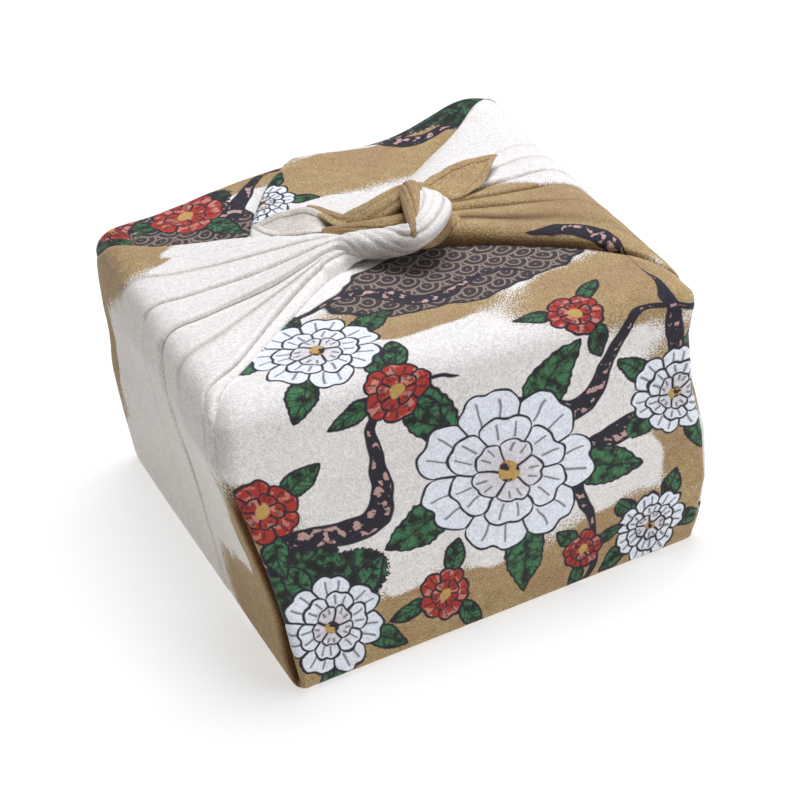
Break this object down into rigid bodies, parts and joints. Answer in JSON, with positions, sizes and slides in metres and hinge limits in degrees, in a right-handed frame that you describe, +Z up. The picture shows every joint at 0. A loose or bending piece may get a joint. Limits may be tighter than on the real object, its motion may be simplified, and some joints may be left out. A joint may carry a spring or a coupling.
{
  "type": "furoshiki wrap",
  "caption": "Square box wrapped in a patterned crepe cloth, its side corners pleated over the top and tied in a small reef knot.",
  "frame": {"origin": "middle of the outline, on the surface that the wrap stands on", "axes": "+X from the left tie to the right tie, +Y from the front face to the back face, +Z up"},
  "size_m": [0.2177, 0.2158, 0.1607],
  "materials": {
    "printed_crepe": "matt printed crepe, gold and ivory with black, green and red motifs"
  },
  "bodies": {
    "root": {"furoshiki": "printed_crepe"}
  },
  "joints": []
}
